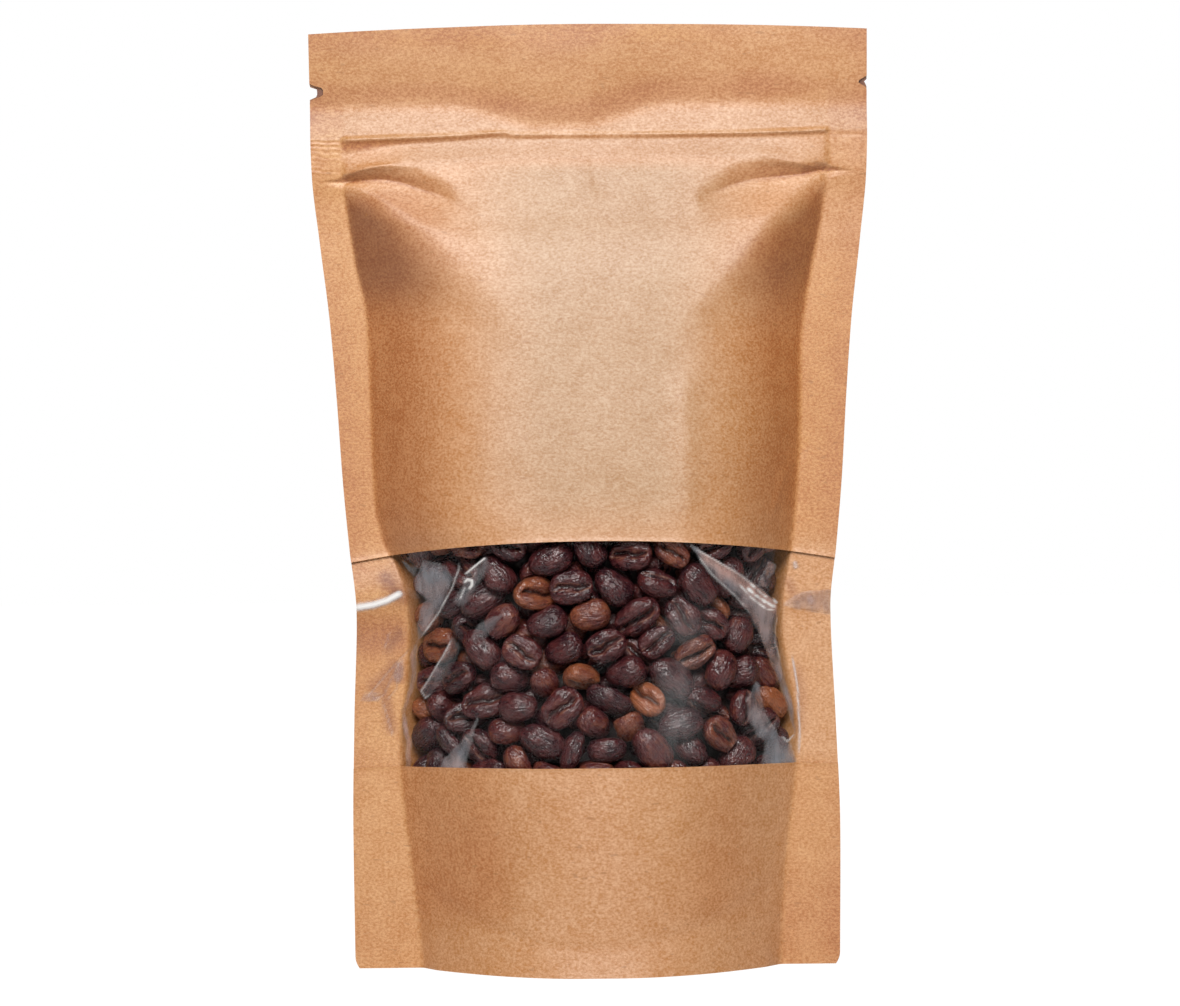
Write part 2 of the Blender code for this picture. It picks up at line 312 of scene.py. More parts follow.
def spot_on_sheet(u, height, shallower=0.0):
    """x, share and z: share is -1 to 1 over the bulge and stays so on the side seals."""
    body = body_width(u, height)
    edge = two_sided(EDGE, u, height) * HALF_WIDTH - notch(u, height, shallower)
    edge -= 0.35 * np.clip(2.5 - height, 0, None) ** 2 / 2.5
    out = np.clip((np.abs(u) - EDGE_SHARE) / (1 - EDGE_SHARE), 0, 1)
    x = np.sign(u) * np.where(out > 0, body + (edge - body) * out, body * np.abs(u) / EDGE_SHARE)
    return x, np.clip(u / EDGE_SHARE, -1, 1), level(x, height)


def fold_level(x):
    """The soft fold above the zip: it dips to the zip in the middle."""
    return 185.3 - 4.4 * plateau(x, -30, -10, -3, 18)


def middle_plane(share, x, height):
    """How far back the plane between the sheets is. The zip holds it forward, above the zip it
    goes back as far as the fold, and from there the strip leans forward. Beside the window the
    left seal stands out."""
    waves = 0.35 * hump(height - 166, 4.0)
    waves += np.where(x < 0, -1.4 * hump(height - 80, 5.6), -0.3 * hump(height - 78, 7.0))
    z = level(x, height)
    over = z - fold_level(x)
    over = (np.hypot(over, 1.4) + over) / 2
    falling = z - over - through(ZIP_LINE, x)
    falling = (falling + np.hypot(falling, 0.4)) / 2
    held = ZIP_OUT * (ease(158, 172, height) - falling / 6.3)
    return waves * share**4 - held - LEAN * (1 - np.clip(1 - over / 17.5, 0, 1) ** 1.5)


def bulge(share, height, stations):
    """How far a sheet stands out: steeply up from the seal, then turning over to flatter."""
    slope_width = two_sided(FORM, share, height, 3)
    inward = np.clip(body_width(share, height) * (1 - np.abs(share)) / slope_width, 0, 1)
    side = 1 - (1 - inward) ** through(FORM, height, 5)
    return through(stations, height) * side * (1 - 0.10 * share**2)


def even_rows(levels, counts):
    """Heights of a sheet's rows: each step between levels is divided evenly."""
    rows = [np.linspace(a, b, n, endpoint=False) for a, b, n in zip(levels, levels[1:], counts)]
    return np.concatenate((*rows, levels[-1:]))


def read_vertices(piece, what="co"):
    """Three numbers for each vertex of a piece."""
    values = np.empty(len(piece.data.vertices) * 3)
    piece.data.vertices.foreach_get(what, values)
    return values.reshape(-1, 3)


def thicken(sheet, thickness):
    """Give a sheet a wall inwards from its surface."""
    wall = sheet.modifiers.new("wall", "SOLIDIFY")
    wall.thickness = thickness * MM
    wall.offset = -1
    bpy.ops.object.modifier_apply(modifier=wall.name)


def bent_sheet(name, columns, heights, place, thickness):
    """A flat grid bent by place(u, height), which gives x, y and z, and given a thickness.

    A sixth of the columns is kept for the narrow side seals."""
    sheet = add_mesh(
        name, bpy.ops.mesh.primitive_grid_add,
        x_subdivisions=columns, y_subdivisions=len(heights) - 1, size=2,
    )
    flat = read_vertices(sheet)
    u = np.interp(flat[:, 0], (-1, -0.84, 0.84, 1), (-1, -EDGE_SHARE, EDGE_SHARE, 1))
    row = np.rint((flat[:, 1] + 1) / 2 * (len(heights) - 1)).astype(int)
    bent = np.stack(place(u, heights[row]), axis=1) * MM
    sheet.data.vertices.foreach_set("co", bent.ravel())
    sheet.data.update()
    if thickness:
        thicken(sheet, thickness)
    bpy.ops.object.shade_smooth_by_angle(angle=math.radians(50))
    return sheet


def finish_piece(piece, material, slot, *stands_for):
    """Give a piece its material, hang it from the root body and hide the part's pieces it stands
    for.
    """
    piece.data.materials.append(material)
    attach(piece, "root")
    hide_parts(*stands_for)


def stretched_noise(tree, place, stretch, scale, detail, roughness=0.55):
    """Noise on a place that is first stretched, as (x, y, z) multipliers."""
    spot = wire(tree, "ShaderNodeMapping", {"Vector": place, "Scale": stretch}).outputs["Vector"]
    return wire(tree, "ShaderNodeTexNoise", {
        "Vector": spot, "Scale": scale, "Detail": detail, "Roughness": roughness,
    }).outputs["Fac"]


def spread(tree, value, low, high, to_low=0.0, to_high=1.0):
    """A value with low and high turned to to_low and to_high, and held between them."""
    return wire(tree, "ShaderNodeMapRange", {
        "Value": value, "From Min": low, "From Max": high, "To Min": to_low, "To Max": to_high,
    }).outputs["Result"]


def mixed(tree, share, first, second, blend="MIX"):
    """A share of the second colour over the first; each is a socket or three numbers."""
    node = tree.nodes.new("ShaderNodeMix")
    node.data_type = "RGBA"
    node.blend_type = blend
    first, second = ((*c, 1) if isinstance(c, tuple) else c for c in (first, second))
    return wire(tree, node, {"Factor": share, "A": first, "B": second}).outputs["Result"]


def stored(tree, name, output="Fac"):
    """What is kept at the vertices under a name."""
    node = tree.nodes.new("ShaderNodeAttribute")
    node.attribute_name = name
    return node.outputs[output]


def bumped(tree, height, strength, distance):
    return wire(tree, "ShaderNodeBump", {
        "Height": height, "Strength": strength, "Distance": distance,
    }).outputs["Normal"]


# The paper's fibres are a little longer across than up, with cloudy tone and dark flecks.
DARK_BROWN = (0.445, 0.160, 0.018)
LIGHT_BROWN = (0.655, 0.348, 0.176)
# Of each number kept at the vertices: its tint, and what it adds to the contrast of the grain. The
# first dulls the paper where the highlight falls. The gold and red-brown tints are the paper's own
# tone on its seals, edges and in clouds, and they also deepen painted shade. The dark grey-brown
# tint is painted shade. The last brightens the paper as painted light and highlight.
TINTS = (
    ("rubbed", (0.77, 0.87, 0.90), -0.15), ("golden", (1.02, 0.96, 0.60), 0),
    ("ruddy", (0.82, 0.635, 0.43), 0.45), ("dusky", (0.30, 0.20, 0.19), 0),
    ("scuffed", (1.15, 1.30, 1.50), 0),
)
kraft_paper, tree = new_material("kraft_paper")
place = tree.nodes.new("ShaderNodeTexCoord").outputs["Object"]
fine = stretched_noise(tree, place, (0.70, 1, 1), 2100, 3.0, 0.7)
cloudy = stretched_noise(tree, place, (0.8, 1, 1), 230, 4.0, 0.6)
broad = stretched_noise(tree, place, (1, 1, 1), 38, 2.0)
fleck = stretched_noise(tree, place, (0.45, 1, 1.2), 900, 1.0)
tone = calculate(tree, "MULTIPLY", fine, 0.74)
for noise, weight in ((cloudy, 0.19), (broad, 0.07)):
    tone = calculate(tree, "MULTIPLY_ADD", noise, weight, tone)
tone = spread(tree, tone, 0.38, 0.62)
amounts = [stored(tree, name) for name, _, _ in TINTS]
contrast = 1.0
for amount, (_, _, more) in zip(amounts, TINTS):
    if more:
        contrast = calculate(tree, "MULTIPLY_ADD", amount, more, contrast)
grain = calculate(tree, "MULTIPLY", calculate(tree, "SUBTRACT", tone, 0.5), contrast)
grain = calculate(tree, "ADD", grain, 0.5, clamp=True)
brown = mixed(tree, grain, DARK_BROWN, LIGHT_BROWN)
for amount, (_, tint, _) in zip(amounts, TINTS):
    brown = mixed(tree, amount, brown, tint, "MULTIPLY")
flecked = calculate(tree, "MULTIPLY", spread(tree, fleck, 0.70, 0.76), 0.5)
wire(tree, "Principled BSDF", {
    "Base Color": mixed(tree, flecked, brown, tuple(0.72 * value for value in DARK_BROWN)),
    "Roughness": spread(tree, tone, 0, 1, 0.59, 0.53),
    "Normal": bumped(tree, calculate(tree, "ADD", fine, cloudy), 0.6, 0.00008),
    "Specular IOR Level": 1.0,
    "IOR": 1.6,
})


def zip_ridge(x, z, reach):
    """The press-to-close strip inside stands out as a narrow lip, with a sharp underside."""
    above = z - through(ZIP_LINE, x)
    ends = plateau(x, -reach, -reach + 0.8, reach - 2.3, reach - 1.5)
    rise = 0.33 - 0.10 * hump(x + 4, 14) + 0.07 * rumple(x, z * 0, 3, 4)
    return ends * rise * hump(above, np.where(above > 0, 0.55, 0.62))


def back_place(u, height):
    x, share, z = spot_on_sheet(-u, height, shallower=1.3)
    swell = bulge(share, height, BACK)
    inside = ease(0, 0.12, 1 - np.abs(share))
    swell += zip_ridge(x, z, 53) * 0.8
    swell = swell + inside * 0.16 * rumple(x, z, 17, 11) + inside * 0.05 * rumple(x, z, 6, 12)
    swell += creases(x, z, (
        (((-30, 171.5), (-42, 170.5), (-53.5, 170.5)), 1.3, -1.2),
        (((30, 171.0), (42, 170.8), (54, 170.6)), 1.3, -1.3),
        (((12, 96), (14, 62), (11, 34)), 2.6, 0.25),
        (((-38, 100), (-33, 108), (-31, 117)), 0.8, -0.35),
        (((37, 74), (33, 81), (34, 90)), 0.8, 0.3),
    ), 0.3)
    y = middle_plane(share, x, height) + SEAL_BACK + np.clip(swell, 0, None)
    return x, y, z


back_rows = even_rows((0, 8, 60, 100, 160, 192, HEIGHT), (10, 34, 34, 40, 60, 8))
back_sheet = bent_sheet("back_sheet", 190, back_rows, back_place, SEAL_BACK - 0.04)


def store(piece, name, values, kind="FLOAT", field="value"):
    """Keep numbers at a piece's vertices, for its material to read."""
    made = piece.data.attributes.new(name, kind, "POINT")
    made.data.foreach_set(field, values.astype(np.float32).ravel())


def keep_tones(piece, **at_least):
    """How much gold and red-brown tint the paper has: its own tone on its seals, strip and edges
    and in clouds, and painted shade down the steep sides and just over the fold; how much painted
    shade darkens it, most in the corners under the zip; how much painted light brightens it, as a
    highlight along the zip."""
    x, _, z = read_vertices(piece).T / MM
    left, right = x < 0, x > 0
    inward = body_width(x, z) - np.abs(x)
    off_seal = ease(-0.6, 0.8, inward)
    on_seal = ease(-1.0, 0.5, -inward)
    above_fold = z - fold_level(x)
    on_strip = ease(-0.5, 1.5, above_fold)
    to_right = ease(10, 40, x)
    by_window = plateau(z, 40, 48, 88, 96)

    # The side seals and the strip, with their outer edges, in the paper's own gold and red-brown
    # tones and clouds; just over the strip's fold, and faintly over the strip and seals, the tints
    # are painted shade.
    richer = 0.25 * hump(z - 118, 26) - 0.22 * (1 - ease(30, 60, z))
    richer -= np.where(right, 0.58 * by_window + 0.40 * ease(148, 160, z), 0)
    golden = np.maximum((0.75 + richer) * on_seal, (0.6 - 0.15 * to_right) * on_strip)
    top_edge = ease(197.5, 200.5, z + 1.2 * rumple(x, z, 10, 27))
    golden += 0.5 * on_strip * top_edge * (1 - to_right)
    from_edge = two_sided(EDGE, x, z) * HALF_WIDTH - np.abs(x)
    ruddy = 0.35 * on_seal * ease(0.5, 6, 6.5 - from_edge - 1.4 * rumple(x, z, 8, 26))
    ruddy *= np.where(right, 1 - 0.9 * by_window, 1 - 0.7 * (1 - ease(30, 45, z)))
    ruddy += on_seal * (0.25 * hump(z - 115, 24) + 0.60 * hump(z - 183, 4.5))
    ruddy += 0.4 * on_seal * hump(z - 8, 12) * right
    top_band = ease(193, 202, z + 1.5 * rumple(x, z, 14, 27))
    ruddy += on_strip * (0.60 - 0.25 * ease(-20, 10, x)) * top_band
    ruddy += 0.40 * on_strip * rumple(x / 1.6, z * 1.3, 8, 33)
    patches = 0.45 + 0.45 * hump(x + 35, 16) + 0.30 * hump(x - 42, 12)
    ruddy += patches * on_strip * hump(above_fold - 3.2, 3.0)
    dusky = (0.13 - 0.07 * to_right) * on_strip
    dusky += on_seal * (0.05 * hump(z - 115, 30) + 0.08 * hump(z - 183, 5))

    # Painted shade down the steep sides of the bulge, above and below the window, and in its
    # corners under the zip.
    wider_up = np.where(left, 8, 8 - 19 * ease(152, 163, z)) * ease(140, 156, z)
    wide = np.where(left, 22, 17) + wider_up
    down_side = np.where(left, ease(60, 105, z), ease(72, 108, z)) * (1 - ease(164, 170, z))
    down_side = down_side * off_seal * (1 - ease(0.2 * wide, wide, inward))
    low_side = np.where(left, 0.75 * (1 - ease(15, 27, inward)), 0.52 * hump(inward - 15, 8))
    low_side = low_side * plateau(z, 6, 16, 38, 60) * off_seal
    corner = plateau(z, 136, 152, 162, 169) * ease(-0.4, 0.6, inward)
    corner *= 1 - ease(0.3, 1.0, inward / through(FORM, z, 3))
    golden = golden + 0.45 * (low_side + corner) + np.where(right, 0.35, 0.1) * down_side
    ruddy = ruddy + down_side + low_side + 0.16 * rumple(x, z, 17, 28)
    dusky = dusky + np.where(left, 0.58, 0.40) * corner + np.where(left, 0.07, 0.04) * down_side

    # Painted light: a highlight along the zip's lip and on the wrinkles at its left end, and
    # lighter seals low on the left and beside the window on the right.
    scuffed = 0.65 * hump(z - through(ZIP_LINE, x) - 0.45, 0.42) * ease(-0.5, 0.5, inward)
    wrinkles = hump(z - 176, 4.5) * np.clip(rumple(x / 3, z, 0.9, 34), 0, 1)
    scuffed += on_seal * left * (0.5 * wrinkles + 0.2 * (1 - ease(36, 44, z)))
    scuffed += 0.35 * by_window * ease(40, 42, x)
    for name, amount in (
        ("golden", golden), ("ruddy", ruddy), ("dusky", dusky), ("scuffed", scuffed),
    ):
        store(piece, name, np.clip(np.maximum(amount, at_least.get(name, 0)), 0, 1))


x, _, z = read_vertices(back_sheet).T / MM
# Painted shadow in the tear notches, and painted shade below and above the left seal's ridge beside
# the window.
by_notch = np.where(x < 0, hump(z - NOTCH_LEFT, 1.9), hump(z - NOTCH_RIGHT, 1.6))
by_notch *= ease(55.5, 56.8, np.abs(x))
by_fold = (0.22 * hump(z - 71.5, 4.5) + 0.14 * hump(z - 84, 4.0)) * ease(39, 42, -x)
# Beside the window it shows through the film, with painted shade along its creases and painted
# light on the paper between them.
creased = np.zeros_like(x)
for line, width, brown in (
    (((-41.4, 66.8), (-43.2, 64.8), (-46.4, 61.8), (-49.4, 59.2)), 1.3, 0.9),
    (((-42.0, 66.4), (-43.0, 64.2), (-42.4, 60.8)), 1.9, 1.0),
    (((-43.4, 63.4), (-45.4, 60.4), (-44.8, 58.2)), 1.3, 0.9),
    (((-45.2, 60.0), (-44.4, 55.4), (-43.6, 49.6)), 1.3, 0.8),
    (((-40.8, 73.4), (-43.4, 70.4), (-45.0, 67.0)), 1.1, 0.7),
    (((-46.0, 86.0), (-43.6, 82.6), (-39.6, 78.0)), 1.8, 1.0),
    (((41.6, 84.0), (43.0, 79.6), (46.0, 77.6)), 1.3, 0.6),
    (((43.4, 66.0), (44.6, 58.0), (44.0, 48.0)), 1.2, 0.5),
):
    creased = np.maximum(creased, brown * crease(x, z, line, width, 0.2))
paler = hump(np.hypot(x + 43.6, (z - 59) / 2), 3.0) + 0.7 * hump(z - 81, 3.0) * ease(42, 44, -x)
paler += 0.5 * hump(z - 50, 4.0) * ease(39, 42, -x)
facing = ease(-0.1, 0.1, -read_vertices(back_sheet, "normal")[:, 1])
keep_tones(
    back_sheet,
    ruddy=facing * np.maximum(1.1 * ease(39, 42, -x) * hump(z - 71.5, 4.5), creased),
    dusky=np.maximum(by_notch, facing * (by_fold + 0.40 * creased)),
    scuffed=facing * 0.6 * paler * (1 - creased),
)
finish_piece(back_sheet, kraft_paper, "kraft", "paper_pouch")


# ---- the front sheet above the window ----
# The same lined kraft paper, cut off in a level line along the window's top edge. Under each
# end of the zip it tucks in to a sharp valley, and from there the bulge spreads out.

film_low, film_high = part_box("window_film")
FILM_GAP = 0.3  # that the solid film keeps to the paper's edges
WINDOW_BOTTOM = film_low.z / MM - FILM_GAP
WINDOW_TOP = film_high.z / MM + FILM_GAP - 4.3
# Of the valley under each end of the zip, from side to side: x; the height of its upper edge and
# of its bottom; how deep it is, as a share of the bulge; how far below it the bulge is whole.
VALLEYS = (
    ((-57.5, 169.8, 169.3, 0, 1.2), (-55, 169.9, 169.3, 0.50, 1.2), (-53.4, 170.3, 169.4, 0.9, 1.5),
     (-52.2, 171.5, 169.4, 0.95, 3), (-50.8, 172.4, 169.4, 0.9, 5), (-45.5, 172.5, 169.7, 0.66, 9),
     (-41, 172.3, 169.1, 0.54, 9), (-36, 171.6, 167.3, 0.42, 8.5), (-32, 170.3, 165.9, 0.28, 8),
     (-28, 168.2, 163.8, 0.1, 7), (-23, 165.5, 161, 0, 6)),
    ((23, 169, 164.8, 0, 6), (27, 170.6, 166, 0.19, 7), (31, 172.4, 167.6, 0.34, 8),
     (35.5, 173.8, 168.9, 0.48, 9), (40, 174.1, 169.4, 0.60, 9), (46, 173.5, 170, 0.72, 8),
     (50, 172.6, 170.8, 0.9, 4.5), (52, 171.9, 170.8, 0.9, 2), (54.5, 171.4, 170.7, 0.4, 1.2),
     (57.5, 170.9, 170.6, 0, 1.2)),
)


def tuck(x, z, way_out=1.0):
    """How far in the valleys go, as a share of the bulge: a wall down, then a way out again."""
    share = np.zeros_like(z)
    for valley in VALLEYS:
        here = np.clip(x, valley[0][0], valley[-1][0])
        top, bottom, deep, out = (through(valley, here, column) for column in (1, 2, 3, 4))
        down = np.clip((top - z) / (top - bottom), 0, 1)
        back = np.clip(1 - (bottom - z) / (out * way_out), 0, 1)
        share += deep * (0.6 * down + 0.4 * ease(0, 1, down)) * back**1.4
    return share


def front_creases(x, z):
    """How far folds, dents and waves stand out from the plain bulge."""
    out = 0.13 * rumple(x, z, 19, 21) + 0.05 * rumple(x, z, 7, 22) + 0.015 * rumple(x, z, 2.5, 23)
    out += creases(x, z, (
        (((19.0, 130), (19.6, 112), (19.9, 90)), 2.8, 0.42),
        (((45.9, 112.5), (41.1, 105), (39.4, 99.5), (37.7, 94.5)), 0.8, 0.35),
        (((46.3, 113.0), (45.5, 110.5), (43.6, 108.5)), 1.0, -0.55),
        (((1.0, 176), (1.6, 170), (3.2, 164)), 1.6, -0.22),
        (((1.6, 170), (-2.5, 163), (-6.0, 155)), 1.8, 0.14),
        (((-20, 176), (-21, 168), (-24, 158)), 2.4, 0.12),
        (((13, 176), (12, 168), (15, 158)), 2.0, -0.10),
        (((51.8, 181.4), (51.7, 176.2)), 0.42, -0.36),
        (((54.7, 181.4), (54.7, 176.2)), 0.42, -0.30),
        (((51.8, 178.6), (56.5, 178.4), (60, 178.3)), 0.42, -0.28),
    ))
    left_seal = (1 - ease(-54, -53, x)) * plateau(z, 168, 172, 177, 183)
    left_seal *= np.clip(0.45 + 0.75 * rumple(x * 0.4, z * 1.6, 2.6, 29), 0, 1)
    ripples = np.sin(z * 6.0 + 0.8 * np.sin(x * 1.3) + 3 * rumple(x * 0.6, z, 3, 24))
    return out + 0.30 * left_seal * ripples


def front_swell(share, x, z, height):
    """The bulge with the zip's lip, the shade under the lip and the valleys."""
    inward = 1 - np.abs(share)
    free = ease(0, 0.10, inward)
    lip = through(ZIP_LINE, x)
    swell = bulge(share, height, FRONT) + zip_ridge(x, z, 53.2)
    wall = np.clip(inward / 0.012, 0, 1) ** 0.8 * (1 - ease(0.08, 0.5, inward))
    swell += 0.55 * wall * ease(171, 172.6, z) * (1 - ease(0, 1.2, z - lip))
    tall = 0.8 + 0.7 * ease(17, 33, -x) + 1.5 * ease(36, 52, -x)
    under = lip - z
    step = 1 - (1 - np.clip(under / tall, 0, 1)) ** 2.2
    step = step * (1 - np.clip((under - tall) / 3.8, 0, 1)) * np.clip(inward / 0.008, 0, 1)
    step *= 0.16 + 0.14 * ease(14, 30, x) + 0.52 * ease(15, 46, -x)
    swell -= step * (1 - 0.5 * hump(x - 3, 7))
    swell += (0.25 + 0.75 * free) * front_creases(x, z)
    return swell - (swell + 0.35 + 0.3 * (1 - free)) * np.clip(tuck(x, z), 0, 1)


def upper_front_place(u, height):
    x, share, z = spot_on_sheet(u, height)
    swell = front_swell(share, x, z, height)
    lip = 0.14 * (1 - ease(0, 0.9, height - WINDOW_TOP))
    y = middle_plane(share, x, height) - SEAL_FRONT - np.clip(swell, -0.40, None) - lip
    return x, y, z


upper_rows = even_rows(
    (WINDOW_TOP, WINDOW_TOP + 0.9, 120, 158, 168, 181, 192, HEIGHT), (3, 34, 42, 28, 76, 22, 10)
)
upper_front = bent_sheet("front_sheet_above_window", 206, upper_rows, upper_front_place, PAPER)
x, _, z = read_vertices(upper_front).T / MM
# The paper is painted duller and greyer where the highlight falls: over the middle of the bulge,
# and on the band along the zip.
aside = np.abs(x - 3 + 1.5 * rumple(x, z, 9, 25)) / body_width(x, z)
pale = (1 - ease(0.20, 0.76, aside)) * plateau(z, 86, 104, 170, 175)
under = through(ZIP_LINE, x) - z
band = ease(170, 175, z) * ease(0.2, 1.2, under) * (1 - ease(0.6, 1.0, aside))
band += 0.7 * ease(-0.3, 0.1, -under) * (1 - ease(-2, 0, z - fold_level(x)))
store(upper_front, "rubbed", np.maximum(pale, 0.4 * band))
# Painted shade under the zip's lip, in the valleys and faintly on the zip band, and painted light
# on the way out below the valleys.
tall = 1.0 + 0.7 * ease(17, 33, -x) + 1.6 * ease(36, 52, -x)
under_zip = plateau(under, 0.1, 0.5, 0.5 * tall, tall) * plateau(x, -53.4, -52.8, 50, 52)
under_zip *= 0.6 + 0.4 * ease(30, 48, -x) - 0.3 * hump(x - 3, 10)
in_valley = np.clip(tuck(x, z, 0.15) * 1.5, 0, 1)
under_valley = np.clip(tuck(x, z, 0.7) * 1.5 - in_valley, 0, 1)
keep_tones(
    upper_front,
    golden=np.maximum(in_valley, 0.9 * under_zip),
    ruddy=np.maximum(in_valley, under_zip),
    dusky=np.maximum(0.30 * in_valley, 0.13 * under_zip) + 0.07 * np.minimum(band, 1),
    scuffed=0.65 * under_valley,
)
finish_piece(upper_front, kraft_paper, "kraft", "paper_pouch")


# ---- the front sheet below the window ----
# The rest of the front sheet, from the window's bottom edge down to the rim it stands on. It
# is sealed to the folded base along a line that climbs from the middle to the sides.

BASE_SEAL = 6.6  # height of the base's seal in the middle


def lower_front_place(u, height):
    x, share, z = spot_on_sheet(u, height)
    free = ease(0, 0.10, 1 - np.abs(share))
    seal = BASE_SEAL + 0.0085 * x**2
    below_seal = 1 - ease(-1.5, 1.5, z - seal)
    swell = bulge(share, height, FRONT)
    waves = 0.12 * rumple(x, z, 16, 31) + 0.05 * rumple(x, z, 6, 32)
    waves += creases(x, z, (
        (((42.9, 11.9), (41.1, 8.2)), 0.5, 0.35),
        (((19.5, 45), (18.5, 34), (16, 24)), 2.5, 0.15),
        (((-24, 45), (-25, 36), (-22, 26)), 3.0, 0.12),
    ))
    pleats = hump(x + 38.2, 1.6) * hump(z - 13, 5.0) * np.sin(z * 3.1)
    flare = 1.4 * np.clip(1 - z / seal, 0, 1) ** 1.3
    swell = swell + (0.2 + 0.8 * free) * waves + 0.10 * pleats + flare * free
    swell -= 0.16 * below_seal * free
    lip = 0.10 * (1 - ease(0, 0.7, WINDOW_BOTTOM - height))
    y = middle_plane(share, x, height) - SEAL_FRONT - np.clip(swell, -0.15, None) - lip
    return x, y, z


lower_rows = even_rows((0, 2.5, 20, WINDOW_BOTTOM - 0.8, WINDOW_BOTTOM), (5, 36, 34, 3))
lower_front = bent_sheet("front_sheet_below_window", 206, lower_rows, lower_front_place, PAPER)
x, _, z = read_vertices(lower_front).T / MM
# Painted light over the middle of the sheet, away from the seals.
keep_tones(lower_front, scuffed=0.2 * ease(3, 16, body_width(x, z) - np.abs(x)))
finish_piece(lower_front, kraft_paper, "kraft", "paper_pouch")


# ---- the folded base ----
# A third sheet of the paper, folded in half between the front and back sheets and sealed to
# their bottom edges. The beans press it open, so the pouch stands on the rim round it.

BASE_KEEL = 1.2  # its lowest height, under the middle of the beans
BASE_CLIMB = 9.0  # how much higher it is at its two ends, where it stays folded
RIM = 0.36  # from the outside of the sheets to where the base meets them


def base_place(u, height):
    """height runs from -1 at the front to 1 at the back here."""
    zero = np.zeros_like(u)
    x, share, _ = spot_on_sheet(u * 0.94, zero)
    front = bulge(share, zero, FRONT) + SEAL_FRONT - RIM
    back = bulge(share, zero, BACK) + SEAL_BACK - RIM
    y = -front * (1 - height) / 2 + back * (1 + height) / 2
    climb = BASE_CLIMB * np.abs(share) ** 3
    fold = 0.5 * hump(y, 0.6) * (0.3 + 0.7 * ease(0.2, 0.9, np.abs(share)))
    pleats = 0.35 * ease(0.45, 0.95, np.abs(share)) * np.sin(y * 2.1) * hump(y, 9)
    z = BASE_KEEL + climb + (BASE_SEAL - 1.2 - BASE_KEEL) * height**4 + fold + pleats
    z += 0.12 * rumple(x, y, 9, 41) * (1 - height**4)
    return x, y, z


def in_edit_mode(change, **settings):
    """Change the whole mesh of the active piece in edit mode."""
    bpy.ops.object.mode_set(mode="EDIT")
    bpy.ops.mesh.select_all(action="SELECT")
    change(**settings)
    bpy.ops.object.mode_set(mode="OBJECT")


folded_base = bent_sheet("folded_base", 120, np.linspace(-1, 1, 61), base_place, 0.0)
in_edit_mode(bpy.ops.mesh.flip_normals)
thicken(folded_base, PAPER)
finish_piece(folded_base, kraft_paper, "kraft", "paper_pouch")


# ---- the window's film ----
# Clear film, stretched behind the window's two paper edges from seal to seal. Where the bulge pulls
# it, it gathers into glossy folds beside the seals, on which grey and brown reflections and white
# highlights are painted.

FILM = 0.08
FILM_OUTSIDE = SEAL_FRONT - PAPER - 0.03
FILM_OVERLAP = 2.5  # that it runs on behind the paper

